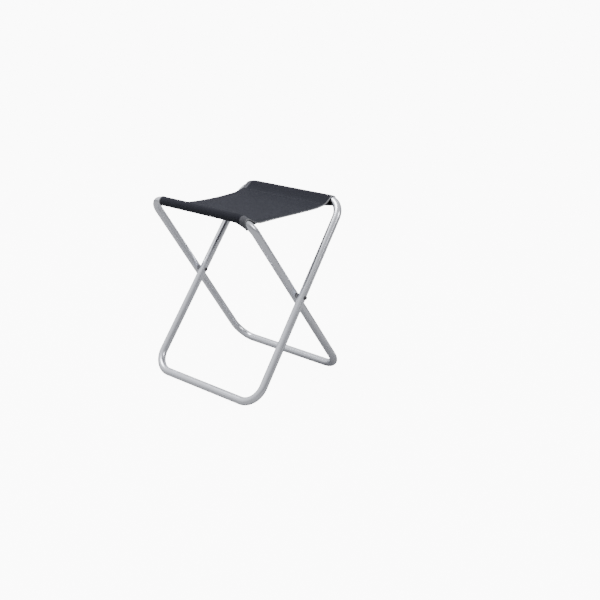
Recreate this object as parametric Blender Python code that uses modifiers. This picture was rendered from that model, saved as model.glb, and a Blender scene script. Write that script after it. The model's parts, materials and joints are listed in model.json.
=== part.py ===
"""Folding camp stool: two round-cornered tube loops crossed on side pivots, with a sling seat between them.

Metres, +Z up, origin on the floor under the middle of the seat. X runs along the bars and Y from the
front bar to the rear bar. The front loop has its top bar in front (-Y) and its bottom bar behind. The rear
loop is the same bent tube turned about Z, and sits further along +X, so that the two pass each other.
"""

import math

import bmesh
import bpy
from mathutils import Vector

# Tube loops
TUBE_RADIUS = 0.011
TUBE_WALL = 0.0015
TOP_HALF_WIDTH = 0.1875  # centreline, at the level of the top bar
BOTTOM_HALF_WIDTH = 0.202  # centreline, at the level of the bottom bar
TOP_REACH = 0.282  # from the pivot to the top bar, along the leg
BOTTOM_REACH = 0.313  # from the pivot to the bottom bar
TOP_BEND = 0.049  # bend radius on the centreline
BOTTOM_BEND = 0.054
LEAN = math.radians(35.7)  # of each loop from the vertical
BEND_STEPS = 8
TUBE_SIDES = 16
GAP = 0.0003  # between pieces that touch
DRILL_LENGTH = 0.044  # of a hole's cutter, well through the tube

# Pivots
SPACER_THICKNESS = 0.006
SPACER_RADIUS = 0.007
SPACER_CHAMFER = 0.0008
RIVET_RADIUS = 0.0025
RIVET_HEAD_RADIUS = 0.0038
RIVET_HEAD = 0.0012
RIVET_CHAMFER = 0.0006
CAP_RADIUS = 0.0052
CAP_WALL = 0.001
CAP_HEIGHT = 0.0038  # over the tube
CAP_DOME = 0.0018
CAP_DOME_STEPS = 5
LEG_LENGTH = 0.060  # of the straight leg that shapes a cap or a spacer
TURNED_STEPS = 24

# Joint of each bent tube, in the middle of its top bar
SPLICE_LENGTH = 0.080
SPLICE_EASE = 0.0004  # between the rod and the tube's bore
SPLICE_PIN_RADIUS = 0.002
SPLICE_PIN_SIDES = 16
SPLICE_PIN_PLACE = 0.025  # from the joint

# Sling seat
CLOTH = 0.001
SLEEVE_EASE = 0.0007  # between the bar and the loose sleeve
PANEL_THICKNESS = 0.002
PANEL_HALF_WIDTH = 0.1385
HEM_WIDTH = 0.008
SEAT_DROP = 0.027  # of the middle of the seat, below the top of the sleeves
MIDDLE_HALF = 0.036  # half of the strip that creases when the stool folds
FRONT_SLEEVE_STEPS = (0, 5)  # bend steps that it reaches round the left and the right corner
REAR_SLEEVE_STEPS = (3, 2)
PANEL_TOP_RADIUS = 0.0162  # from the bar's axis to the panel's top, where it leaves the sleeve
PANEL_SLOPE = math.radians(39)  # from there to the sleeve's seam
SEAM_IN = 0.034  # from the bar's axis towards the middle
HEM_SKIP = 0.013  # down the slope, which clears the sleeve round the corner when the stool folds

# Meshes
SMOOTH_ANGLE = math.radians(35)
MERGE_DISTANCE = 0.00005

# Worked out from the sizes above
PIVOT_HEIGHT = TUBE_RADIUS + BOTTOM_REACH * math.cos(LEAN)
BAR_OUT = TOP_REACH * math.sin(LEAN)
BAR_HEIGHT = PIVOT_HEIGHT + TOP_REACH * math.cos(LEAN)
LOOP_OFFSET = TUBE_RADIUS + SPACER_THICKNESS / 2
TAPER = (BOTTOM_HALF_WIDTH - TOP_HALF_WIDTH) / (TOP_REACH + BOTTOM_REACH)
PIVOT_HALF_WIDTH = TOP_HALF_WIDTH + TOP_REACH * TAPER
SLEEVE_INNER = TUBE_RADIUS + SLEEVE_EASE
SLEEVE_OUTER = SLEEVE_INNER + CLOTH
SEAT_TOP = BAR_HEIGHT + SLEEVE_OUTER
SADDLE_RADIUS = TUBE_RADIUS + GAP
SPLICE_RADIUS = TUBE_RADIUS - TUBE_WALL - SPLICE_EASE

ALONG_X = (0, math.pi / 2, 0)
AGAINST_X = (0, -math.pi / 2, 0)
FRONT, REAR = -1, 1
LEFT, RIGHT = -1, 1
SIDE_NAMES = {LEFT: "left", RIGHT: "right"}
END_NAMES = {FRONT: "front", REAR: "rear"}


def clear_scene():
    for obj in list(bpy.data.objects):
        bpy.data.objects.remove(obj)


def new_collection(name):
    collection = bpy.data.collections.new(name)
    bpy.context.scene.collection.children.link(collection)
    return collection


def new_material(name, colour, metallic, roughness):
    material = bpy.data.materials.new(name)
    material.use_nodes = True
    shader = material.node_tree.nodes["Principled BSDF"]
    shader.inputs["Base Color"].default_value = (*colour, 1)
    shader.inputs["Metallic"].default_value = metallic
    shader.inputs["Roughness"].default_value = roughness
    material.diffuse_color = (*colour, 1)
    return material


def new_body(name, location):
    """An empty on the body's joint axis, which carries the body's parts."""
    empty = bpy.data.objects.new(name, None)
    empty.location = location
    PARTS.objects.link(empty)
    return empty


def new_part(name, mesh, material, body, location, rotation=(0, 0, 0)):
    part = bpy.data.objects.new(name, mesh)
    part.data.materials.clear()
    part.data.materials.append(MATERIALS[material])
    part.parent = body
    part.location = Vector(location) - body.location
    part.rotation_euler = rotation
    PARTS.objects.link(part)
    return part


def new_cutter(name, mesh, location=(0, 0, 0), rotation=(0, 0, 0)):
    cutter = bpy.data.objects.new(name, mesh)
    cutter.location = location
    cutter.rotation_euler = rotation
    cutter.hide_render = True
    cutter.display_type = "WIRE"
    CUTTERS.objects.link(cutter)
    return cutter


def cut(part, cutter):
    modifier = part.modifiers.new(cutter.name, "BOOLEAN")
    modifier.operation = "DIFFERENCE"
    modifier.solver = "EXACT"
    modifier.object = cutter


def smooth(mesh):
    mesh.shade_smooth()
    mesh.set_sharp_from_angle(angle=SMOOTH_ANGLE)


def box_mesh(name, low, high):
    mesh = bpy.data.meshes.new(name)
    low, high = Vector(low), Vector(high)
    form = bmesh.new()
    bmesh.ops.create_cube(form, size=1)
    bmesh.ops.scale(form, vec=high - low, verts=form.verts)
    bmesh.ops.translate(form, vec=(low + high) / 2, verts=form.verts)
    form.to_mesh(mesh)
    form.free()
    return mesh


def rod_mesh(name, radius, length, sides=TURNED_STEPS):
    """A rod along its own Z, with its middle at the origin."""
    mesh = bpy.data.meshes.new(name)
    form = bmesh.new()
    bmesh.ops.create_cone(
        form, cap_ends=True, segments=sides, radius1=radius, radius2=radius, depth=length
    )
    form.to_mesh(mesh)
    form.free()
    smooth(mesh)
    return mesh


def turned_mesh(name, profile, closed=False):
    """A profile of (radius, height) points turned about Z. It runs down its outer side."""
    mesh = bpy.data.meshes.new(name)
    last = len(profile) if closed else len(profile) - 1
    edges = [(i, (i + 1) % len(profile)) for i in range(last)]
    mesh.from_pydata([(radius, 0, height) for radius, height in profile], edges, [])
    turned = bpy.data.objects.new(name, mesh)
    CUTTERS.objects.link(turned)
    screw = turned.modifiers.new("turn", "SCREW")
    screw.steps = TURNED_STEPS
    screw.render_steps = TURNED_STEPS
    screw.use_merge_vertices = True
    screw.merge_threshold = MERGE_DISTANCE
    graph = bpy.context.evaluated_depsgraph_get()
    solid = bpy.data.meshes.new_from_object(turned.evaluated_get(graph))
    bpy.data.objects.remove(turned)
    solid.name = name
    smooth(solid)
    return solid


def bend(corner, before, after, radius, steps):
    """Arc points of a bend that rounds off a corner between two straight runs."""
    corner, before, after = Vector(corner), Vector(before), Vector(after)
    back = (before - corner).normalized()
    onward = (after - corner).normalized()
    inside = back.angle(onward)
    tangent = radius / math.tan(inside / 2)
    centre = corner + (back + onward).normalized() * (radius / math.sin(inside / 2))
    start = corner + back * tangent - centre
    end = corner + onward * tangent - centre
    turn = start.angle(end)
    points = []
    for step in range(steps + 1):
        share = step / steps
        point = start * math.sin((1 - share) * turn) + end * math.sin(share * turn)
        points.append(centre + point / math.sin(turn))
    return points


def loop_bends():
    """The four bends of a loop in its own plane, clockwise from top right. Its Y runs up the legs."""
    top_right = (TOP_HALF_WIDTH, TOP_REACH)
    top_left = (-TOP_HALF_WIDTH, TOP_REACH)
    bottom_right = (BOTTOM_HALF_WIDTH, -BOTTOM_REACH)
    bottom_left = (-BOTTOM_HALF_WIDTH, -BOTTOM_REACH)
    return [
        bend(top_right, top_left, bottom_right, TOP_BEND, BEND_STEPS),
        bend(bottom_right, top_right, bottom_left, BOTTOM_BEND, BEND_STEPS),
        bend(bottom_left, bottom_right, top_left, BOTTOM_BEND, BEND_STEPS),
        bend(top_left, bottom_left, top_right, TOP_BEND, BEND_STEPS),
    ]


def tube_path():
    """The bent tube's centreline, from its one end to its other, which meet in the top bar."""
    points = [Vector((GAP / 2, TOP_REACH))]
    for corner in loop_bends():
        points += corner
    points.append(Vector((-GAP / 2, TOP_REACH)))
    return points


def sleeve_path(end):
    """The sleeve's centreline, a little way round the corner at one or both of its ends."""
    left_steps, right_steps = FRONT_SLEEVE_STEPS if end == FRONT else REAR_SLEEVE_STEPS
    right_corner, left_corner = loop_bends()[0], loop_bends()[-1]
    return left_corner[-1 - left_steps :] + right_corner[: right_steps + 1]


def make_shell(name, points, radius, wall, material, body, end):
    """A tube along points in a loop's own plane, open at both ends, with its wall inside the radius."""
    path = bpy.data.curves.new(name, "CURVE")
    path.dimensions = "3D"
    path.bevel_depth = radius
    path.bevel_resolution = TUBE_SIDES // 2 - 2  # a resolution of n gives 2 n + 4 sides
    path.use_fill_caps = False
    spline = path.splines.new("POLY")
    spline.points.add(len(points) - 1)
    for place, point in zip(spline.points, points):
        place.co = (point.x, point.y, 0, 1)
    swept = bpy.data.objects.new(name, path)
    CUTTERS.objects.link(swept)
    graph = bpy.context.evaluated_depsgraph_get()
    mesh = bpy.data.meshes.new_from_object(swept.evaluated_get(graph))
    bpy.data.objects.remove(swept)
    mesh.name = name
    smooth(mesh)
    shell = new_part(name, mesh, material, body, loop_centre(end), loop_turn(end))
    solidify = shell.modifiers.new("wall", "SOLIDIFY")
    solidify.thickness = wall
    solidify.offset = -1
    solidify.use_even_offset = True
    return shell


def loop_turn(end):
    """The rotation that stands a loop's own plane up at its lean."""
    return (math.pi / 2 - end * LEAN, 0, 0)


def leg_turn(end, side):
    """The rotation that lays a rod's Z along a leg."""
    across = side * TAPER
    up = Vector((0, end * math.sin(LEAN), math.cos(LEAN)))
    along = up - Vector((across, 0, 0))
    return along.to_track_quat("Z", "Y").to_euler()


def loop_centre(end):
    return Vector((end * LOOP_OFFSET, 0, PIVOT_HEIGHT))


def leg_centre(end, side):
    """Where a leg's centreline passes the pivot axis."""
    return loop_centre(end) + Vector((side * PIVOT_HALF_WIDTH, 0, 0))


def bar_centre(end):
    return Vector((end * LOOP_OFFSET, end * BAR_OUT, BAR_HEIGHT))


def make_loop(end, body):
    """The bent tube, the rod that joins its two ends inside the top bar, and the pins that hold it."""
    name = END_NAMES[end]
    tube = make_shell(
        f"{name}_loop_tube", tube_path(), TUBE_RADIUS, TUBE_WALL, "tube", body, end
    )
    for side in (LEFT, RIGHT):
        hole = rod_mesh("pivot_hole", RIVET_RADIUS + GAP, DRILL_LENGTH)
        label = f"{name}_pivot_hole_{SIDE_NAMES[side]}"
        cut(tube, new_cutter(label, hole, leg_centre(end, side), ALONG_X))
    splice = new_part(
        f"{name}_loop_splice",
        rod_mesh("splice", SPLICE_RADIUS, SPLICE_LENGTH),
        "splice",
        body,
        bar_centre(end),
        ALONG_X,
    )
    for side in (LEFT, RIGHT):
        make_splice_pin(end, side, body, (tube, splice))


def make_splice_pin(end, side, body, held):
    """A pin across the top bar, square to the loop's plane, in a hole through each held part."""
    label = f"{END_NAMES[end]}_splice_pin_{SIDE_NAMES[side]}"
    place = bar_centre(end) + Vector((side * SPLICE_PIN_PLACE, 0, 0))
    hole = rod_mesh("pin_hole", SPLICE_PIN_RADIUS + GAP, DRILL_LENGTH, SPLICE_PIN_SIDES)
    cutter = new_cutter(f"hole_for_{label}", hole, place, loop_turn(end))
    for part in held:
        cut(part, cutter)
    pin = rod_mesh("pin", SPLICE_PIN_RADIUS, 2 * (TUBE_RADIUS - GAP), SPLICE_PIN_SIDES)
    new_part(label, pin, "steel", body, place, loop_turn(end))


def make_sleeve(end, body):
    """The end of the sling that is sewn into a tube round the top bar."""
    name = f"seat_sleeve_{END_NAMES[end]}"
    make_shell(name, sleeve_path(end), SLEEVE_OUTER, CLOTH, "cloth", body, end)


def make_pivot(side, front_body, rear_body):
    """The rivet through both legs, the spacer between them, and a cap over each rivet head."""
    middle = (leg_centre(FRONT, side) + leg_centre(REAR, side)) / 2
    label = SIDE_NAMES[side]
    seat_of_head = LOOP_OFFSET + SADDLE_RADIUS
    rivet_end = seat_of_head + RIVET_HEAD
    rivet = turned_mesh(
        "pivot_rivet",
        [
            (0, rivet_end),
            (RIVET_HEAD_RADIUS - RIVET_CHAMFER, rivet_end),
            (RIVET_HEAD_RADIUS, seat_of_head),
            (RIVET_RADIUS, seat_of_head),
            (RIVET_RADIUS, -seat_of_head),
            (RIVET_HEAD_RADIUS, -seat_of_head),
            (RIVET_HEAD_RADIUS - RIVET_CHAMFER, -rivet_end),
            (0, -rivet_end),
        ],
    )
    new_part(f"pivot_rivet_{label}", rivet, "steel", front_body, middle, ALONG_X)
    make_spacer(side, front_body)
    make_cap(FRONT, side, front_body, AGAINST_X)
    make_cap(REAR, side, rear_body, ALONG_X)


def make_spacer(side, body):
    """A saddle on the front leg's side, and a flat face on the rear leg's side."""
    face = 2 * LOOP_OFFSET - SADDLE_RADIUS
    root = TUBE_RADIUS / 2
    bore = RIVET_RADIUS + GAP
    profile = [
        (SPACER_RADIUS - SPACER_CHAMFER, face),
        (SPACER_RADIUS, face - SPACER_CHAMFER),
        (SPACER_RADIUS, root),
        (bore, root),
        (bore, face),
    ]
    label = f"pivot_spacer_{SIDE_NAMES[side]}"
    mesh = turned_mesh(label, profile, closed=True)
    spacer = new_part(label, mesh, "spacer", body, leg_centre(FRONT, side), ALONG_X)
    cut(spacer, leg_cutter(FRONT, side, label))


def make_cap(end, side, body, turn):
    """A domed cup over a rivet head, with its rim shaped to the leg."""
    top = TUBE_RADIUS + CAP_HEIGHT
    recess = SADDLE_RADIUS + RIVET_HEAD + GAP
    root = TUBE_RADIUS / 2
    profile = [(0, top)]
    for step in range(1, CAP_DOME_STEPS + 1):
        angle = step / CAP_DOME_STEPS * math.pi / 2
        radius = CAP_RADIUS * math.sin(angle)
        profile.append((radius, top - CAP_DOME * (1 - math.cos(angle))))
    profile += [
        (CAP_RADIUS, root),
        (CAP_RADIUS - CAP_WALL, root),
        (CAP_RADIUS - CAP_WALL, recess),
        (0, recess),
    ]
    label = f"pivot_cap_{END_NAMES[end]}_{SIDE_NAMES[side]}"
    mesh = turned_mesh(label, profile)
    cap = new_part(label, mesh, "plastic", body, leg_centre(end, side), turn)
    cut(cap, leg_cutter(end, side, label))


def leg_cutter(end, side, label):
    """The leg with its gap, which shapes what sits on it."""
    rod = rod_mesh("leg", SADDLE_RADIUS, LEG_LENGTH, 2 * TUBE_SIDES)
    turn = leg_turn(end, side)
    return new_cutter(f"leg_under_{label}", rod, leg_centre(end, side), turn)


def make_seat_half(end, body):
    """The half of the sling from its bar to the middle strip, with a hem on each side."""
    name = END_NAMES[end]
    half = PANEL_HALF_WIDTH
    seat_strip(f"seat_panel_{name}", end, -half, half, 0, "cloth", body)
    inner = PANEL_HALF_WIDTH + GAP
    for side in (LEFT, RIGHT):
        low_x, high_x = sorted((side * inner, side * (inner + HEM_WIDTH)))
        label = f"seat_hem_{name}_{SIDE_NAMES[side]}"
        seat_strip(label, end, low_x, high_x, HEM_SKIP, "hem", body)


def seat_strip(label, end, low_x, high_x, skip, material, body):
    """A strip that leaves the sleeve steeply, and turns at the sleeve's seam to run to the middle strip."""
    start_in = PANEL_TOP_RADIUS * math.sin(PANEL_SLOPE) + skip * math.cos(PANEL_SLOPE)
    start_up = PANEL_TOP_RADIUS * math.cos(PANEL_SLOPE) - skip * math.sin(PANEL_SLOPE)
    profile = [
        (start_in, start_up),
        (SEAM_IN, start_up - (SEAM_IN - start_in) * math.tan(PANEL_SLOPE)),
        (BAR_OUT - MIDDLE_HALF - GAP, SLEEVE_OUTER - SEAT_DROP),
    ]
    points = [(x, -end * inward, up) for inward, up in profile for x in (low_x, high_x)]
    faces = [(0, 1, 3, 2), (2, 3, 5, 4)]
    if end == REAR:
        faces = [tuple(reversed(face)) for face in faces]
    mesh = bpy.data.meshes.new(label)
    mesh.from_pydata(points, [], faces)
    strip = new_part(label, mesh, material, body, body.location)
    solidify = strip.modifiers.new("thickness", "SOLIDIFY")
    solidify.thickness = PANEL_THICKNESS
    solidify.offset = -1
    solidify.use_even_offset = True


def make_seat_middle(body):
    """The flat strip across the middle of the sling."""
    half_width = PANEL_HALF_WIDTH + GAP + HEM_WIDTH
    half = MIDDLE_HALF - GAP
    top = SEAT_TOP - SEAT_DROP
    mesh = box_mesh(
        "seat_middle", (-half_width, -half, -PANEL_THICKNESS), (half_width, half, 0)
    )
    new_part("seat_middle", mesh, "cloth", body, (0, 0, top))


clear_scene()
PARTS = new_collection("camp_stool")
CUTTERS = new_collection("cutters")
CUTTERS.hide_render = True
MATERIALS = {
    "tube": new_material("tube", (0.62, 0.63, 0.66), 1.0, 0.35),
    "splice": new_material("splice", (0.50, 0.51, 0.53), 1.0, 0.45),
    "steel": new_material("steel", (0.45, 0.45, 0.47), 1.0, 0.4),
    "plastic": new_material("plastic", (0.02, 0.02, 0.022), 0.0, 0.5),
    "spacer": new_material("spacer", (0.22, 0.22, 0.23), 0.0, 0.5),
    "cloth": new_material("cloth", (0.045, 0.05, 0.075), 0.0, 0.85),
    "hem": new_material("hem", (0.17, 0.17, 0.18), 0.0, 0.8),
}
front_frame = new_body("front_frame", loop_centre(FRONT))
rear_frame = new_body("rear_frame", loop_centre(REAR))
seat_front = new_body("seat_front", (0, -BAR_OUT, BAR_HEIGHT))
seat_rear = new_body("seat_rear", (0, BAR_OUT, BAR_HEIGHT))

make_loop(FRONT, front_frame)
make_loop(REAR, rear_frame)
make_sleeve(FRONT, front_frame)
make_sleeve(REAR, rear_frame)
for pivot_side in (LEFT, RIGHT):
    make_pivot(pivot_side, front_frame, rear_frame)
make_seat_half(FRONT, seat_front)
make_seat_half(REAR, seat_rear)
make_seat_middle(seat_front)
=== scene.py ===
"""Folding camp stool: satin aluminium tube loops on side pivots, and a woven sling over their bars.

The frame gives the places. The loops and the sling are made here, and the rest of the CAD is shown with
better materials. The sling is made in two halves, which meet at mid-span.
"""

import json
import math

import bpy
import numpy as np
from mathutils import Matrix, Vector


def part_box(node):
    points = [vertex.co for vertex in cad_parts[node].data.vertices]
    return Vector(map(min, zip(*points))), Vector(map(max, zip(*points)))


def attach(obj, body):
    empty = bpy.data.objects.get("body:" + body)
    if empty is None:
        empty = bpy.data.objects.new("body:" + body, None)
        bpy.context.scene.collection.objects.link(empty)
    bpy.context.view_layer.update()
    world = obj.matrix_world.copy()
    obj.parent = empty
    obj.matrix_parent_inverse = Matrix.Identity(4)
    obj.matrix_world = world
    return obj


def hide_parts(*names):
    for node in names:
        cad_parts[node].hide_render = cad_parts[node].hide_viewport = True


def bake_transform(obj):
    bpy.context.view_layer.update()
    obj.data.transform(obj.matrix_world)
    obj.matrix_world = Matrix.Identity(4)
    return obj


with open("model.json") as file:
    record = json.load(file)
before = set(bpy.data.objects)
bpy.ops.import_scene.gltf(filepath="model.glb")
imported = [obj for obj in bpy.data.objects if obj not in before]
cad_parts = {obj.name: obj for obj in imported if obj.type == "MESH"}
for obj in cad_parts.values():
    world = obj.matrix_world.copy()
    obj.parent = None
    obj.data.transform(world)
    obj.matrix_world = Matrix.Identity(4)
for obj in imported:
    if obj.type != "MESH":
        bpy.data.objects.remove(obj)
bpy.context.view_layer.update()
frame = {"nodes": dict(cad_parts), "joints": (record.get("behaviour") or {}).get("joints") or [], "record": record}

# Colours, from dark to light in each
TUBE_DARK, TUBE_LIGHT = (0.77, 0.785, 0.85), (0.87, 0.885, 0.94)
CLOTH_DARK, CLOTH_LIGHT = (0.0055, 0.006, 0.0105), (0.023, 0.024, 0.037)
# The cuff's colours are lighter than the sling's: partly the cuff's own tone, partly painted light on the sleeve's
# end, which turns round the bend towards the lamp.
PAINTED_LIT_CUFF_DARK, PAINTED_LIT_CUFF_LIGHT = (0.06, 0.061, 0.07), (0.15, 0.151, 0.168)
HEM_DARK, HEM_LIGHT = (0.11, 0.112, 0.12), (0.2, 0.202, 0.212)

JOINTS = {joint["name"]: joint for joint in frame["joints"]}

# The bent tube, as the CAD bends it
TUBE_RADIUS = 0.011
TOP_HALF_WIDTH = 0.1875
TOP_BEND = 0.049
BOTTOM_BEND = 0.054
TUBE_SIDES = 48
BEND_STEPS = 30
RUN_STEP = 0.012

# Where the frame says that things are
PIVOT_HEIGHT = JOINTS["fold"]["pos_m"][2]
BAR_OUT = -JOINTS["seat_front_drop"]["pos_m"][1]
BAR_HEIGHT = JOINTS["seat_front_drop"]["pos_m"][2]
LOOP_LOW, LOOP_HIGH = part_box("front_loop_tube")
LOOP_OFFSET = -(LOOP_LOW.x + LOOP_HIGH.x) / 2
LEAN = math.atan2(BAR_OUT, BAR_HEIGHT - PIVOT_HEIGHT)
TOP_REACH = math.hypot(BAR_OUT, BAR_HEIGHT - PIVOT_HEIGHT)
BOTTOM_REACH = (PIVOT_HEIGHT - TUBE_RADIUS) / math.cos(LEAN)
BOTTOM_HALF_WIDTH = (LOOP_HIGH.x - LOOP_LOW.x) / 2 - TUBE_RADIUS
SEAT_MIDDLE = frame["record"]["mounts"][0]["pos_m"][2]
TAPER = (BOTTOM_HALF_WIDTH - TOP_HALF_WIDTH) / (TOP_REACH + BOTTOM_REACH)
BEND_REACH = math.tan((math.pi / 2 - math.atan(TAPER)) / 2)  # of a bend's tangent, by its radius

# The sling
CLOTH = 0.001
SLEEVE_RADIUS = 0.0122  # middle of the cloth, round the bar
SEAM_IN = 0.0316  # from the bar's axis to the seam that closes the sleeve
SEAM_DOWN = 0.0087
TAIL = 0.008  # of the sleeve's end past its seam, under the seat
LAYERS = 0.0013  # between two layers of cloth, middle to middle
LEFT_EDGE = -0.154  # of the cloth, at the seams
RIGHT_EDGE = 0.168
FURTHEST_ROUND = math.sin(math.radians(60))  # that the sleeve reaches round a bend
FOLLOWS = 0.28  # of the tube's drop round a bend that the seam follows
LOOSE = 0.0008  # that the sleeve stands off the tube round a bend
LOOSE_DROP = 0.005  # of the bar down its bend, by which it is that loose
CUFF = 0.018  # turned back at an end that reaches round a bend
PULL_IN = 0.010  # of the free edges at mid-span
EVEN_ROWS = 10  # either side of mid-span, which ease to its even line
RIM_ANGLE = math.radians(50)  # over which an edge of the thickened cloth is sharp
SOFT_ROWS = 7  # either side of the seam, which round its crease
SOFT_STEPS = 26
EDGE_STEPS = 6  # of those, at the free edges
SOFT_EDGE = 0.16  # of the width, over which the rest come in
COLUMNS = 84
WEB_ROWS = 9
RING_ROWS = 26
PANEL_ROWS = 34
TAIL_ROWS = 3
SEAM_ROW = TAIL_ROWS + 2 * WEB_ROWS + RING_ROWS - 1

# Sewn edges and stitches
BIND_HALF = 0.0023  # half of the width of the bound edge
BIND_THICK = 0.00115  # half of its thickness
BIND_SIDES = 12
BIND_OVERHANG = 0.0006  # of the bound edge past the cloth's
BIND_SQUARENESS = 0.6  # power that flattens the band's round section
SEAM_STITCHES = (0.001, 0.0055)  # of each row, in from the seam
EDGE_COLUMN = 1.05  # of the stitches beside a free edge, in from it
CLOTH_FACE = CLOTH / 2  # from the middle of the cloth
STITCH = 0.0021
STITCH_PITCH = 0.0030
STITCH_RADIUS = 0.00032

# Cloth simulation
SIM_FRAMES = 40
SIM_QUALITY = 6
SIM_MASS = 0.35
SIM_TENSION = 60
SIM_COMPRESSION = 30
SIM_SHEAR = 12
SIM_BENDING = 0.3
SIM_CAP = 0.003  # that a point may move

END_NAMES = {-1: "front", 1: "rear"}


# ---------------------------------------------------------------- mesh helpers


def new_object(name, points, faces, uvs=None):
    """A mesh object from points and faces; uvs holds a pair for each point."""
    mesh = bpy.data.meshes.new(name)
    mesh.from_pydata([tuple(point) for point in points], [], faces)
    mesh.update()
    if uvs is not None:
        layer = mesh.uv_layers.new(name="cloth")
        corners = np.zeros(len(mesh.loops), np.int32)
        mesh.loops.foreach_get("vertex_index", corners)
        layer.data.foreach_set("uv", np.asarray(uvs, np.float32)[corners].ravel())
    mesh.shade_smooth()
    piece = bpy.data.objects.new(name, mesh)
    bpy.context.scene.collection.objects.link(piece)
    return piece


def grid_faces(rows, columns, around=False):
    """Faces of a grid of points; around closes each row on itself."""
    faces = []
    last = columns if around else columns - 1
    for row in range(rows - 1):
        for column in range(last):
            after = (column + 1) % columns
            low, high = row * columns, (row + 1) * columns
            faces.append((low + column, low + after, high + after, high + column))
    return faces


def turned_about_z(points):
    """The same points turned half round about Z."""
    return points * np.array([-1, -1, 1])


# ---------------------------------------------------------------- tubes


def bend(corner, before, after, radius, steps):
    """Arc points of a bend that rounds off a corner between two straight runs."""
    corner, before, after = Vector(corner), Vector(before), Vector(after)
    back = (before - corner).normalized()
    onward = (after - corner).normalized()
    inside = back.angle(onward)
    tangent = radius / math.tan(inside / 2)
    centre = corner + (back + onward).normalized() * (radius / math.sin(inside / 2))
    start = corner + back * tangent - centre
    end = corner + onward * tangent - centre
    turn = start.angle(end)
    points = []
    for step in range(steps + 1):
        share = step / steps
        point = start * math.sin((1 - share) * turn) + end * math.sin(share * turn)
        points.append(centre + point / math.sin(turn))
    return points


def loop_path():
    """The closed centreline in the loop's own plane, with points along its straight runs too."""
    top_right = (TOP_HALF_WIDTH, TOP_REACH)
    top_left = (-TOP_HALF_WIDTH, TOP_REACH)
    bottom_right = (BOTTOM_HALF_WIDTH, -BOTTOM_REACH)
    bottom_left = (-BOTTOM_HALF_WIDTH, -BOTTOM_REACH)
    bends = [
        bend(top_right, top_left, bottom_right, TOP_BEND, BEND_STEPS),
        bend(bottom_right, top_right, bottom_left, BOTTOM_BEND, BEND_STEPS),
        bend(bottom_left, bottom_right, top_left, BOTTOM_BEND, BEND_STEPS),
        bend(top_left, bottom_left, top_right, TOP_BEND, BEND_STEPS),
    ]
    points = []
    for index, arc in enumerate(bends):
        points += arc
        start, end = arc[-1], bends[(index + 1) % len(bends)][0]
        pieces = round((end - start).length / RUN_STEP)
        points += [start.lerp(end, step / pieces) for step in range(1, pieces)]
    return np.array([(point.x, point.y) for point in points])


def stand_up(flat, across, end):
    """Points of a loop's own plane, and their distance out of it, placed in the row frame."""
    up = flat[..., 1]
    x = flat[..., 0] + end * LOOP_OFFSET
    y = end * (up * math.sin(LEAN) + across * math.cos(LEAN))
    z = PIVOT_HEIGHT + up * math.cos(LEAN) - across * math.sin(LEAN)
    return np.stack([x, y, z], axis=-1)


def make_loop(end, material):
    path = loop_path()
    tangent = np.roll(path, -1, axis=0) - np.roll(path, 1, axis=0)
    tangent /= np.linalg.norm(tangent, axis=1)[:, None]
    outward = np.stack([-tangent[:, 1], tangent[:, 0]], axis=1)
    angle = np.arange(TUBE_SIDES) / TUBE_SIDES * 2 * math.pi
    flat = path[:, None] + TUBE_RADIUS * outward[:, None] * np.cos(angle)[None, :, None]
    across = np.broadcast_to(TUBE_RADIUS * np.sin(angle), flat.shape[:2])
    points = stand_up(flat, across, end).reshape(-1, 3)
    count = len(path)
    step = np.linalg.norm(np.roll(path, -1, axis=0) - path, axis=1)
    along = np.concatenate([[0], np.cumsum(step)[:-1]])
    uvs = np.stack(
        [np.tile(angle * TUBE_RADIUS, count), np.repeat(along, TUBE_SIDES)], axis=1
    )
    faces = grid_faces(count, TUBE_SIDES, around=True)
    last = (count - 1) * TUBE_SIDES
    for side in range(TUBE_SIDES):
        after = (side + 1) % TUBE_SIDES
        faces.append((last + side, last + after, after, side))
    name = END_NAMES[end]
    tube = new_object(f"{name}_tube", points, faces, uvs)
    tube.data.materials.append(material)
    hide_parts(f"{name}_loop_tube", f"{name}_loop_splice")
    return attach(tube, f"{name}_frame")


# ---------------------------------------------------------------- materials


def new_material(name, colour, metallic, roughness):
    material = bpy.data.materials.new(name)
    material.use_nodes = True
    shader = material.node_tree.nodes["Principled BSDF"]
    shader.inputs["Base Color"].default_value = (*colour, 1)
    shader.inputs["Metallic"].default_value = metallic
    shader.inputs["Roughness"].default_value = roughness
    return material, material.node_tree, shader


def node(tree, kind, **settings):
    made = tree.nodes.new(kind)
    for key, value in settings.items():
        if key in made.inputs:
            made.inputs[key].default_value = value
        else:
            setattr(made, key, value)
    return made


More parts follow.
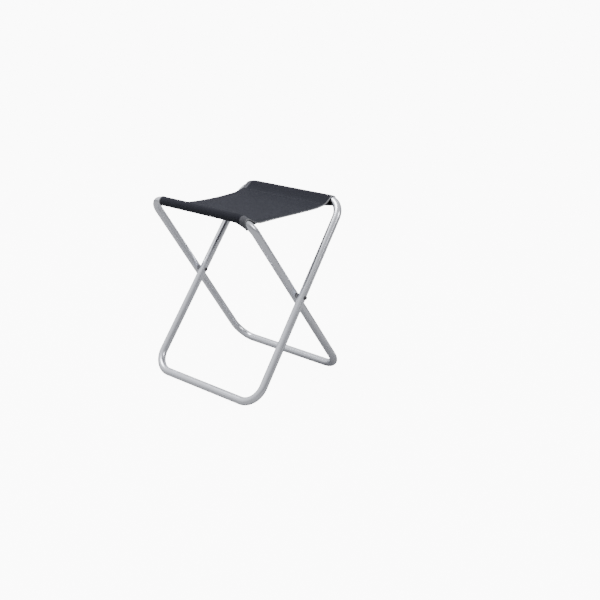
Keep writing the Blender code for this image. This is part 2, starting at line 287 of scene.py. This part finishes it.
def aluminium():
    """Satin anodised tube: fine lines from drawing in its tone and bump, and faint cloudy unevenness in its gloss.
    """
    material, tree, shader = new_material("satin_aluminium", (0.6, 0.61, 0.64), 1.0, 0.36)
    place = node(tree, "ShaderNodeTexCoord")
    stretch = node(tree, "ShaderNodeMapping", Scale=(900, 14, 1))
    tree.links.new(place.outputs["UV"], stretch.inputs["Vector"])
    lines = node(tree, "ShaderNodeTexNoise", Scale=1.0, Detail=3.0, Roughness=0.6)
    tree.links.new(stretch.outputs["Vector"], lines.inputs["Vector"])
    cloud = node(tree, "ShaderNodeTexNoise", Scale=22.0, Detail=4.0, Roughness=0.6)
    tree.links.new(place.outputs["Object"], cloud.inputs["Vector"])
    rough = node(tree, "ShaderNodeMapRange")
    rough.inputs["To Min"].default_value = 0.20
    rough.inputs["To Max"].default_value = 0.34
    tree.links.new(cloud.outputs["Fac"], rough.inputs["Value"])
    tree.links.new(rough.outputs["Result"], shader.inputs["Roughness"])
    tone = node(tree, "ShaderNodeMix", data_type="RGBA")
    tone.inputs["A"].default_value = (*TUBE_DARK, 1)
    tone.inputs["B"].default_value = (*TUBE_LIGHT, 1)
    tree.links.new(lines.outputs["Fac"], tone.inputs["Factor"])
    tree.links.new(tone.outputs["Result"], shader.inputs["Base Color"])
    bump = node(tree, "ShaderNodeBump", Strength=0.03, Distance=0.0002)
    tree.links.new(lines.outputs["Fac"], bump.inputs["Height"])
    tree.links.new(bump.outputs["Normal"], shader.inputs["Normal"])
    return material


def plated(name, colour):
    """Zinc-plated steel, dull and a little mottled."""
    material, tree, shader = new_material(name, colour, 1.0, 0.4)
    place = node(tree, "ShaderNodeTexCoord")
    cloud = node(tree, "ShaderNodeTexNoise", Scale=600.0, Detail=4.0, Roughness=0.6)
    tree.links.new(place.outputs["Object"], cloud.inputs["Vector"])
    tone = node(tree, "ShaderNodeMix", data_type="RGBA")
    tone.inputs["A"].default_value = (*(channel * 0.7 for channel in colour), 1)
    tone.inputs["B"].default_value = (*colour, 1)
    tree.links.new(cloud.outputs["Fac"], tone.inputs["Factor"])
    tree.links.new(tone.outputs["Result"], shader.inputs["Base Color"])
    rough = node(tree, "ShaderNodeMapRange")
    rough.inputs["To Min"].default_value = 0.3
    rough.inputs["To Max"].default_value = 0.55
    tree.links.new(cloud.outputs["Fac"], rough.inputs["Value"])
    tree.links.new(rough.outputs["Result"], shader.inputs["Roughness"])
    return material


def woven(name, dark, light, pitch, depth, sheen):
    """Plain weave: warp and weft threads that pass over each other, with a little unevenness."""
    material, tree, shader = new_material(name, dark, 0.0, 0.85)
    shader.inputs["Sheen Weight"].default_value = sheen
    shader.inputs["Sheen Roughness"].default_value = 0.4
    shader.inputs["Sheen Tint"].default_value = (0.6, 0.63, 0.75, 1)
    shader.inputs["Specular IOR Level"].default_value = 0.25
    place = node(tree, "ShaderNodeTexCoord")
    split = node(tree, "ShaderNodeSeparateXYZ")
    tree.links.new(place.outputs["UV"], split.inputs["Vector"])
    waves = []
    for axis in ("X", "Y"):
        turn = node(tree, "ShaderNodeMath", operation="MULTIPLY")
        turn.inputs[1].default_value = 2 * math.pi / pitch
        tree.links.new(split.outputs[axis], turn.inputs[0])
        wave = node(tree, "ShaderNodeMath", operation="SINE")
        tree.links.new(turn.outputs[0], wave.inputs[0])
        waves.append(wave)
    cross = node(tree, "ShaderNodeMath", operation="MULTIPLY")
    for index, wave in enumerate(waves):
        tree.links.new(wave.outputs[0], cross.inputs[index])
    height = node(tree, "ShaderNodeMath", operation="ABSOLUTE")
    tree.links.new(cross.outputs[0], height.inputs[0])
    cloud = node(tree, "ShaderNodeTexNoise", Scale=35.0, Detail=6.0, Roughness=0.7)
    tree.links.new(place.outputs["Object"], cloud.inputs["Vector"])
    slub = node(tree, "ShaderNodeMapping", Scale=(900, 26, 1))
    tree.links.new(place.outputs["UV"], slub.inputs["Vector"])
    yarn = node(tree, "ShaderNodeTexNoise", Scale=1.0, Detail=2.0, Roughness=0.5)
    tree.links.new(slub.outputs["Vector"], yarn.inputs["Vector"])
    uneven = node(tree, "ShaderNodeMath", operation="ADD")
    tree.links.new(cloud.outputs["Fac"], uneven.inputs[0])
    tree.links.new(yarn.outputs["Fac"], uneven.inputs[1])
    mixed = node(tree, "ShaderNodeMath", operation="MULTIPLY")
    tree.links.new(height.outputs[0], mixed.inputs[0])
    tree.links.new(uneven.outputs[0], mixed.inputs[1])
    tone = node(tree, "ShaderNodeMix", data_type="RGBA")
    tone.inputs["A"].default_value = (*dark, 1)
    tone.inputs["B"].default_value = (*light, 1)
    tree.links.new(mixed.outputs[0], tone.inputs["Factor"])
    tree.links.new(tone.outputs["Result"], shader.inputs["Base Color"])
    bump = node(tree, "ShaderNodeBump", Strength=0.5, Distance=depth)
    tree.links.new(height.outputs[0], bump.inputs["Height"])
    tree.links.new(bump.outputs["Normal"], shader.inputs["Normal"])
    return material


def webbing(name, dark, light):
    """The bound edge and the thread: a fine even rib that needs no flat pattern of its own."""
    material, tree, shader = new_material(name, dark, 0.0, 0.8)
    shader.inputs["Specular IOR Level"].default_value = 0.3
    place = node(tree, "ShaderNodeTexCoord")
    rib = node(tree, "ShaderNodeTexWave", Scale=260.0, Distortion=1.5, Detail=2.0)
    rib.bands_direction = "DIAGONAL"
    tree.links.new(place.outputs["Object"], rib.inputs["Vector"])
    tone = node(tree, "ShaderNodeMix", data_type="RGBA")
    tone.inputs["A"].default_value = (*dark, 1)
    tone.inputs["B"].default_value = (*light, 1)
    tree.links.new(rib.outputs["Fac"], tone.inputs["Factor"])
    tree.links.new(tone.outputs["Result"], shader.inputs["Base Color"])
    bump = node(tree, "ShaderNodeBump", Strength=0.4, Distance=0.0002)
    tree.links.new(rib.outputs["Fac"], bump.inputs["Height"])
    tree.links.new(bump.outputs["Normal"], shader.inputs["Normal"])
    return material


def moulded(name, colour):
    """Moulded plastic with a fine spark-eroded grain."""
    material, tree, shader = new_material(name, colour, 0.0, 0.45)
    place = node(tree, "ShaderNodeTexCoord")
    grain = node(tree, "ShaderNodeTexNoise", Scale=1800.0, Detail=2.0)
    tree.links.new(place.outputs["Object"], grain.inputs["Vector"])
    tone = node(tree, "ShaderNodeMix", data_type="RGBA")
    tone.inputs["A"].default_value = (*colour, 1)
    tone.inputs["B"].default_value = (*(channel * 1.5 for channel in colour), 1)
    tree.links.new(grain.outputs["Fac"], tone.inputs["Factor"])
    tree.links.new(tone.outputs["Result"], shader.inputs["Base Color"])
    bump = node(tree, "ShaderNodeBump", Strength=0.15, Distance=0.0001)
    tree.links.new(grain.outputs["Fac"], bump.inputs["Height"])
    tree.links.new(bump.outputs["Normal"], shader.inputs["Normal"])
    rough = node(tree, "ShaderNodeMapRange")
    rough.inputs["To Min"].default_value = 0.35
    rough.inputs["To Max"].default_value = 0.6
    tree.links.new(grain.outputs["Fac"], rough.inputs["Value"])
    tree.links.new(rough.outputs["Result"], shader.inputs["Roughness"])
    return material


# ---------------------------------------------------------------- sling


LEG = np.array([0, math.sin(LEAN), -math.cos(LEAN)])  # down the leg, as (x, inward, up)
INWARD = np.array([0, math.cos(LEAN), math.sin(LEAN)])


def bar_at(x, radius=0.0, angle=0.0):
    """Centre, and in-plane outward direction, of the front bar where its surface passes x.

    Both are (x, inward, up) from the bar's own middle. The bar bends down along its leg at each end. The
    surface is at the radius, and at the angle from the inward side towards the outward one.
    """
    run = TOP_HALF_WIDTH - TOP_BEND * BEND_REACH
    side = 1 if x > 0 else -1
    past = max(abs(x) - run, 0.0)
    sine = min(past / (TOP_BEND + radius * math.sin(angle)), FURTHEST_ROUND)
    cosine = math.sqrt(1 - sine**2)
    centre_x = side * (min(abs(x), run) + TOP_BEND * sine)
    centre = np.array([centre_x, 0, 0]) + TOP_BEND * (1 - cosine) * LEG
    return centre, -LEG * cosine + np.array([side * sine, 0, 0])


def seam_point(x):
    """The seam under the sling at x, as (x, inward, up) from the middle of the front bar."""
    drop = bar_at(x)[0] * FOLLOWS
    return np.array([x, SEAM_IN + drop[1], drop[2] - SEAM_DOWN])


def sleeve_column(x, seam):
    """One column of the sleeve, from the seam's underside round the bar and back to the seam."""
    centre, outward = bar_at(x)
    radius = SLEEVE_RADIUS + LOOSE * min(1.0, -centre[2] / LOOSE_DROP)
    offset = seam - centre
    away = np.array([offset @ INWARD, offset @ outward])
    distance = max(np.linalg.norm(away), radius * 1.02)
    heading = math.atan2(away[1], away[0])
    opening = math.acos(radius / distance)
    angles = heading - opening - np.linspace(0, 2 * math.pi - 2 * opening, RING_ROWS)
    ring = []
    for angle in angles:
        middle, out = bar_at(x, radius, angle)
        ring.append(middle + radius * (math.cos(angle) * INWARD + math.sin(angle) * out))
    ring = np.array(ring)
    steps = np.linspace(0, 1, WEB_ROWS + 1)[:, None]
    under = seam - np.array([0, 0, LAYERS])
    lower = under + (ring[0] - under) * steps[:-1]
    upper = ring[-1] + (seam - ring[-1]) * steps[1:]
    return np.concatenate([lower, ring, upper])


def panel_height(inward, seam):
    """Height of the sling at a distance in from the bar, between its seam and mid-span."""
    left = BAR_OUT - inward
    share = left / (BAR_OUT - seam[1])
    bottom = SEAT_MIDDLE - BAR_HEIGHT - CLOTH / 2
    return bottom + (seam[2] - bottom) * share**2


def sling_half(low_x, high_x):
    """Points of the front half of the sling, as rows of columns, from the tail to mid-span.

    The cloth runs from low_x to high_x at its seam, in the row frame.
    """
    columns = []
    for column in range(COLUMNS):
        share = column / (COLUMNS - 1)
        edge_x = low_x + (high_x - low_x) * share
        seam = seam_point(edge_x + LOOP_OFFSET)
        sleeve = sleeve_column(edge_x + LOOP_OFFSET, seam)
        middle_x = edge_x + PULL_IN * (1 - 2 * share) + LOOP_OFFSET
        panel = []
        for row in range(1, PANEL_ROWS + 1):
            part = row / PANEL_ROWS
            inward = seam[1] + (BAR_OUT - seam[1]) * part
            eased = 1 - (1 - part) ** 2
            x = seam[0] + (middle_x - seam[0]) * eased
            panel.append((x, inward, panel_height(inward, seam)))
        tail = []
        for row in range(TAIL_ROWS):
            inward = seam[1] + TAIL * (1 - row / TAIL_ROWS)
            tail.append((seam[0], inward, panel_height(inward, seam) - LAYERS))
        columns.append(np.concatenate([np.array(tail), sleeve, np.array(panel)]))
    local = np.array(columns).transpose(1, 0, 2)
    return local + np.array([-LOOP_OFFSET, -BAR_OUT, BAR_HEIGHT])


def soften(points):
    """Rounds the crease at the seam, more so away from the free edges, and lifts the layer under it."""
    before = points[SEAM_ROW].copy()
    rows = np.arange(SEAM_ROW - SOFT_ROWS, SEAM_ROW + SOFT_ROWS + 1)
    across = np.linspace(0, 1, points.shape[1])
    inner = np.minimum(1, np.minimum(across, 1 - across) / SOFT_EDGE)[None, :, None]
    for step in range(SOFT_STEPS):
        strength = 0.5 if step < EDGE_STEPS else 0.5 * inner
        middle = (points[rows - 1] + points[rows + 1]) / 2
        points[rows] += (middle - points[rows]) * strength
    lift = points[SEAM_ROW] - before
    points[:TAIL_ROWS] += lift
    for step in range(WEB_ROWS):
        points[TAIL_ROWS + step] += lift * (1 - step / WEB_ROWS)


def even_middle(half):
    """Eases a half's last rows to a level line on the middle plane, so that the halves meet folded too."""
    height = half[-1, :, 2].mean()
    move_y = -half[-1, :, 1]
    move_z = height - half[-1, :, 2]
    for row in range(EVEN_ROWS):
        weight = (1 - row / EVEN_ROWS) ** 2
        half[-1 - row, :, 1] += weight * move_y
        half[-1 - row, :, 2] += weight * move_z


def hang(front, rear):
    """Lets the sling hang from its sleeves in a cloth simulation, and gives back its two halves."""
    rows, columns = front.shape[:2]
    whole = np.concatenate([front, turned_about_z(rear)[::-1, ::-1][1:]])
    start = whole.reshape(-1, 3)
    cloth = new_object("sling_hanging", start, grid_faces(len(whole), columns))
    held = cloth.vertex_groups.new(name="held")
    last = len(whole) - 1
    for row in range(len(whole)):
        if min(row, last - row) <= SEAM_ROW + 1:
            held.add(list(range(row * columns, (row + 1) * columns)), 1.0, "REPLACE")
    modifier = cloth.modifiers.new("hang", "CLOTH")
    settings = modifier.settings
    settings.quality = SIM_QUALITY
    settings.mass = SIM_MASS
    settings.tension_stiffness = SIM_TENSION
    settings.compression_stiffness = SIM_COMPRESSION
    settings.shear_stiffness = SIM_SHEAR
    settings.bending_stiffness = SIM_BENDING
    settings.vertex_group_mass = "held"
    modifier.collision_settings.use_collision = False
    modifier.point_cache.frame_start = 1
    modifier.point_cache.frame_end = SIM_FRAMES
    scene = bpy.context.scene
    for step in range(1, SIM_FRAMES + 1):
        scene.frame_set(step)
    graph = bpy.context.evaluated_depsgraph_get()
    hung = cloth.evaluated_get(graph).to_mesh()
    moved = np.zeros(len(start) * 3)
    hung.vertices.foreach_get("co", moved)
    move = moved.reshape(-1, 3) - start
    distance = np.linalg.norm(move, axis=1)[:, None]
    move *= np.minimum(1, SIM_CAP / np.maximum(distance, 1e-9))
    result = (start + move).reshape(whole.shape)
    cloth_mesh = cloth.data
    bpy.data.objects.remove(cloth)
    bpy.data.meshes.remove(cloth_mesh)
    scene.frame_set(1)
    hung_rear = turned_about_z(result[rows - 1 :])[::-1, ::-1]
    return result[:rows].copy(), hung_rear.copy()


def lengths(points):
    """How far each point lies along the cloth: down its column, and across its row."""
    down = np.linalg.norm(np.diff(points, axis=0), axis=2).mean(axis=1)
    down = np.concatenate([[0], np.cumsum(down)])
    across = np.linalg.norm(np.diff(points, axis=1), axis=2).mean(axis=0)
    across = np.concatenate([[0], np.cumsum(across)])
    v, u = np.meshgrid(down, across, indexing="ij")
    return np.stack([u, v], axis=-1)


def edge_binding(points, column, neighbour):
    """A flat rounded band folded over one edge of the grid, as points and faces."""
    edge = points[TAIL_ROWS:, column]
    inner = points[TAIL_ROWS:, neighbour]
    out = edge - inner
    out /= np.linalg.norm(out, axis=1)[:, None]
    run = np.gradient(edge, axis=0)
    run /= np.linalg.norm(run, axis=1)[:, None]
    normal = np.cross(out, run)
    normal /= np.linalg.norm(normal, axis=1)[:, None]
    angle = np.arange(BIND_SIDES) / BIND_SIDES * 2 * math.pi
    wide = np.sign(np.cos(angle)) * np.abs(np.cos(angle)) ** BIND_SQUARENESS * BIND_HALF
    thick = np.sign(np.sin(angle)) * np.abs(np.sin(angle)) ** BIND_SQUARENESS * BIND_THICK
    centre = edge - out * (BIND_HALF - BIND_OVERHANG)
    rings = (
        centre[:, None]
        + out[:, None] * wide[None, :, None]
        + normal[:, None] * thick[None, :, None]
    )
    faces = grid_faces(len(rings), BIND_SIDES, around=True)
    faces.append(tuple(range(BIND_SIDES)))
    last = (len(rings) - 1) * BIND_SIDES
    faces.append(tuple(last + side for side in reversed(range(BIND_SIDES))))
    return rings.reshape(-1, 3), faces


def grid_place(points, row, column):
    """Point and normal at a fractional row and column of the grid."""
    rows, columns = points.shape[:2]
    low_row = min(int(row), rows - 2)
    low_column = min(int(column), columns - 2)
    down, across = row - low_row, column - low_column
    a = points[low_row, low_column]
    b = points[low_row, low_column + 1]
    c = points[low_row + 1, low_column]
    d = points[low_row + 1, low_column + 1]
    place = (a * (1 - across) + b * across) * (1 - down) + (c * (1 - across) + d * across) * down
    over = (b - a) * (1 - down) + (d - c) * down
    along = (c - a) * (1 - across) + (d - b) * across
    normal = np.cross(over, along)
    return place, normal / np.linalg.norm(normal)


def stitch_form():
    """One stitch, as a little rod with tapered ends along X, as points and faces."""
    sides = 6
    stations = [(-0.5, 0.35), (-0.3, 1.0), (0.3, 1.0), (0.5, 0.35)]
    points = []
    for along, size in stations:
        for side in range(sides):
            angle = side / sides * 2 * math.pi
            points.append((along, size * math.cos(angle), size * math.sin(angle)))
    faces = grid_faces(len(stations), sides, around=True)
    faces.append(tuple(reversed(range(sides))))
    last = (len(stations) - 1) * sides
    faces.append(tuple(last + side for side in range(sides)))
    return np.array(points), faces


def sew(points, routes, side, lift):
    """Stitches along routes of (row, column) places, on one side of the cloth."""
    form, form_faces = stitch_form()
    all_points, all_faces = [], []
    for route in routes:
        places = [grid_place(points, row, column) for row, column in route]
        path = np.array([place[0] for place in places])
        step = np.linalg.norm(np.diff(path, axis=0), axis=1)
        far = np.concatenate([[0], np.cumsum(step)])
        count = int(far[-1] / STITCH_PITCH)
        for index in range(count):
            middle = (index + 0.5) * STITCH_PITCH
            found = min(int(np.searchsorted(far, middle)), len(far) - 1)
            place, normal = places[found]
            run = path[found] - path[max(found - 1, 0)]
            run = run / max(np.linalg.norm(run), 1e-9)
            back = far[found] - middle
            centre = place - run * back + normal * side * lift
            cross = np.cross(normal, run)
            turned = (
                centre
                + form[:, :1] * STITCH * run
                + form[:, 1:2] * STITCH_RADIUS * cross
                + form[:, 2:] * STITCH_RADIUS * normal
            )
            offset = len(all_points) * len(form)
            all_points.append(turned)
            all_faces += [tuple(corner + offset for corner in face) for face in form_faces]
    return np.concatenate(all_points), all_faces


def stitch_routes(points):
    """Routes of the sleeve's two seam rows, of the rows beside the free edges, and of the cuff's row."""
    rows, columns = points.shape[:2]
    seam = []
    flat = lengths(points)
    down = flat[:, 0, 1]
    for inward in SEAM_STITCHES:
        row = float(np.interp(down[SEAM_ROW] + inward, down, np.arange(rows)))
        seam.append([(row, column / 4) for column in range(4, 4 * (columns - 1) - 3)])
    edges = []
    for column in (EDGE_COLUMN, columns - 1 - EDGE_COLUMN):
        span = range(4 * (SEAM_ROW + 1), 4 * (rows - 1))
        edges.append([(row / 4, column) for row in span])
    cuff = []
    cuff_column = float(np.interp(flat[0, -1, 0] - CUFF, flat[0, :, 0], np.arange(columns)))
    span = range(4 * (TAIL_ROWS + WEB_ROWS), 4 * (TAIL_ROWS + WEB_ROWS + RING_ROWS - 1))
    cuff.append([(row / 4, cuff_column) for row in span])
    return seam, edges, cuff


def mark_painted_lit_cuff(half, flat, columns):
    """Gives the cuff's lighter material, which is partly painted light, to the sleeve's faces next to its round
    end.
    """
    painted_lit_cuff_from = flat[0, -1, 0] - CUFF
    for polygon in half.data.polygons:
        row, column = divmod(polygon.index, columns - 1)
        if row < SEAM_ROW - 1 and flat[0, column, 0] > painted_lit_cuff_from:
            polygon.material_index = 1


def apply_thickness(obj):
    """Applies the thickness and marks the rims as sharp, which leaves the cloth one closed mesh."""
    thickened = obj.evaluated_get(bpy.context.evaluated_depsgraph_get())
    mesh = bpy.data.meshes.new_from_object(thickened)
    obj.modifiers.clear()
    obj.data = mesh
    mesh.set_sharp_from_angle(angle=RIM_ANGLE)


def make_hems(points, name, material):
    """The bound edges at the left and right of one half of the sling."""
    hems = []
    for side, column, neighbour in (("left", 0, 1), ("right", -1, -2)):
        band_points, band_faces = edge_binding(points, column, neighbour)
        band = new_object(f"hem_{name}_{side}", band_points, band_faces)
        band.data.materials.append(material)
        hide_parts(f"seat_hem_{name}_{side}")
        hems.append(band)
    return hems


def make_stitching(points, routes, name, material):
    """All the stitches of one half, as one piece: both faces of the seam and edges, and the cuff's top."""
    seam, edges, cuff = routes
    stitch_points, stitch_faces = [], []
    offset = 0
    for rows, face, lift in (
        (seam, 1, CLOTH_FACE),
        (seam, -1, CLOTH_FACE),
        (edges, 1, BIND_THICK),
        (edges, -1, BIND_THICK),
        (cuff, 1, CLOTH_FACE),
    ):
        sewn_points, sewn_faces = sew(points, rows, face, lift)
        stitch_points.append(sewn_points)
        stitch_faces += [tuple(corner + offset for corner in face) for face in sewn_faces]
        offset += len(sewn_points)
    stitches = new_object(f"stitching_{name}", np.concatenate(stitch_points), stitch_faces)
    stitches.data.materials.append(material)
    return stitches


def make_sling(cloth, cuff_cloth, hem, thread):
    front = sling_half(LEFT_EDGE, RIGHT_EDGE)
    rear = sling_half(-RIGHT_EDGE, -LEFT_EDGE)
    for half in (front, rear):
        soften(half)
    front, rear = hang(front, rear)
    rows, columns = front.shape[:2]
    for end, points in ((-1, front), (1, rear)):
        even_middle(points)
        name = END_NAMES[end]
        flat = lengths(points)
        placed = points if end < 0 else turned_about_z(points)
        half = new_object(
            f"sling_{name}",
            placed.reshape(-1, 3),
            grid_faces(rows, columns),
            flat.reshape(-1, 2),
        )
        half.data.materials.append(cloth)
        half.data.materials.append(cuff_cloth)
        # The faces by the sleeve's round end get the lighter cuff cloth, which is partly painted light.
        mark_painted_lit_cuff(half, flat, columns)
        thick = half.modifiers.new("cloth", "SOLIDIFY")
        thick.thickness = CLOTH
        thick.offset = 0
        apply_thickness(half)
        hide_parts(f"seat_sleeve_{name}", f"seat_panel_{name}")
        if end < 0:
            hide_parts("seat_middle")
        extras = make_hems(placed, name, hem)
        extras.append(make_stitching(placed, stitch_routes(points), name, thread))
        for piece in (half, *extras):
            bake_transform(piece)


# ---------------------------------------------------------------- stage


AZIMUTH = math.radians(44.376)
ELEVATION = math.radians(17.898)
DISTANCE = 2.8291
AIM = Vector((0, 0, 0.22))
SLIDE_RIGHT = 0.063986
SLIDE_UP = -0.0096308
LENS = 60.895
SHIFT = 0.05

# Strengths: the walls as the camera sees them, the room's own light, and the floor's lift towards white
BACKDROP = 10.5
ROOM_LOW, ROOM_HIGH = 0.2, 1.2
ROOM_TOWARD = (-0.55, -0.1, 0.8)  # where the studio is lightest
FLOOR_GLOW = 10.0
FLOOR_HALF = 60.0
FLOOR_TONE = 0.36


def make_camera():
    back = Vector(
        (
            math.sin(AZIMUTH) * math.cos(ELEVATION),
            -math.cos(AZIMUTH) * math.cos(ELEVATION),
            math.sin(ELEVATION),
        )
    )
    right = Vector((math.cos(AZIMUTH), math.sin(AZIMUTH), 0))
    up = back.cross(right)
    data = bpy.data.cameras.new("camera")
    data.lens = LENS
    data.shift_x = SHIFT
    camera = bpy.data.objects.new("camera", data)
    camera.location = AIM + back * DISTANCE + right * SLIDE_RIGHT + up * SLIDE_UP
    camera.rotation_mode = "QUATERNION"
    camera.rotation_quaternion = (-back).to_track_quat("-Z", "Y")
    bpy.context.scene.collection.objects.link(camera)
    bpy.context.scene.camera = camera


def make_light(name, place, size, power):
    data = bpy.data.lights.new(name, "AREA")
    data.shape = "DISK"
    data.size = size
    data.energy = power
    light = bpy.data.objects.new(name, data)
    light.location = place
    light.rotation_mode = "QUATERNION"
    light.rotation_quaternion = (AIM - Vector(place)).to_track_quat("-Z", "Y")
    bpy.context.scene.collection.objects.link(light)


def make_world():
    """A dim studio, lighter above and to the left, which the camera alone sees as near white."""
    world = bpy.data.worlds.new("studio")
    world.use_nodes = True
    tree = world.node_tree
    seen = tree.nodes["Background"]
    seen.inputs["Color"].default_value = (1, 1, 1, 1)
    seen.inputs["Strength"].default_value = BACKDROP
    lit = tree.nodes.new("ShaderNodeBackground")
    lit.inputs["Color"].default_value = (0.97, 0.98, 1, 1)
    toward = tree.nodes.new("ShaderNodeTexCoord")
    facing = tree.nodes.new("ShaderNodeVectorMath")
    facing.operation = "DOT_PRODUCT"
    facing.inputs[1].default_value = ROOM_TOWARD
    tree.links.new(toward.outputs["Generated"], facing.inputs[0])
    strength = tree.nodes.new("ShaderNodeMapRange")
    strength.inputs["To Min"].default_value = ROOM_LOW
    strength.inputs["To Max"].default_value = ROOM_HIGH
    strength.inputs["From Min"].default_value = -0.5
    tree.links.new(facing.outputs["Value"], strength.inputs["Value"])
    tree.links.new(strength.outputs["Result"], lit.inputs["Strength"])
    rays = tree.nodes.new("ShaderNodeLightPath")
    mix = tree.nodes.new("ShaderNodeMixShader")
    tree.links.new(rays.outputs["Is Camera Ray"], mix.inputs["Fac"])
    tree.links.new(lit.outputs["Background"], mix.inputs[1])
    tree.links.new(seen.outputs["Background"], mix.inputs[2])
    tree.links.new(mix.outputs["Shader"], tree.nodes["World Output"].inputs["Surface"])
    bpy.context.scene.world = world


def make_floor():
    """A pale floor, which the camera alone sees as near white."""
    material, tree, shader = new_material("floor", (FLOOR_TONE,) * 3, 0.0, 0.9)
    shader.inputs["Specular IOR Level"].default_value = 0.0
    glow = tree.nodes.new("ShaderNodeEmission")
    glow.inputs["Strength"].default_value = FLOOR_GLOW
    rays = tree.nodes.new("ShaderNodeLightPath")
    both = tree.nodes.new("ShaderNodeAddShader")
    mix = tree.nodes.new("ShaderNodeMixShader")
    tree.links.new(shader.outputs["BSDF"], both.inputs[0])
    tree.links.new(glow.outputs["Emission"], both.inputs[1])
    tree.links.new(rays.outputs["Is Camera Ray"], mix.inputs["Fac"])
    tree.links.new(shader.outputs["BSDF"], mix.inputs[1])
    tree.links.new(both.outputs["Shader"], mix.inputs[2])
    tree.links.new(mix.outputs["Shader"], tree.nodes["Material Output"].inputs["Surface"])
    half = FLOOR_HALF
    corners = [(-half, -half, 0), (half, -half, 0), (half, half, 0), (-half, half, 0)]
    floor = new_object("floor", corners, [(0, 1, 2, 3)])
    floor.data.materials.append(material)


make_camera()
make_world()
make_floor()
make_light("key", (-0.9, -0.7, 3.0), 1.6, 70)
make_light("fill", (3.0, 0.8, 2.0), 1.2, 32)
TUBE_FINISH = aluminium()
CLOTH_FINISH = woven("sling_cloth", CLOTH_DARK, CLOTH_LIGHT, 0.0013, 0.0004, 0.08)
# The cuff cloth: the sling's weave made lighter, partly as the cuff's own tone, partly as painted light where the
# sleeve's end turns towards the lamp.
PAINTED_LIT_CUFF_FINISH = woven("cuff_cloth", PAINTED_LIT_CUFF_DARK, PAINTED_LIT_CUFF_LIGHT, 0.0011, 0.0003, 0.12)
HEM_FINISH = webbing("hem_cloth", HEM_DARK, HEM_LIGHT)
THREAD = webbing("thread", CLOTH_LIGHT, HEM_DARK)
FINISHES = {
    "pivot_cap": moulded("black_plastic", (0.05, 0.05, 0.054)),
    "pivot_spacer": moulded("grey_plastic", (0.2, 0.2, 0.21)),
    "pivot_rivet": plated("zinc", (0.55, 0.55, 0.57)),
    "splice_pin": plated("pin_steel", (0.5, 0.5, 0.52)),
}
for end_sign in END_NAMES:
    make_loop(end_sign, TUBE_FINISH)
make_sling(CLOTH_FINISH, PAINTED_LIT_CUFF_FINISH, HEM_FINISH, THREAD)
for node_name, shown in frame["nodes"].items():
    for part_name, finish in FINISHES.items():
        if part_name in node_name:
            shown.data.materials.clear()
            shown.data.materials.append(finish)
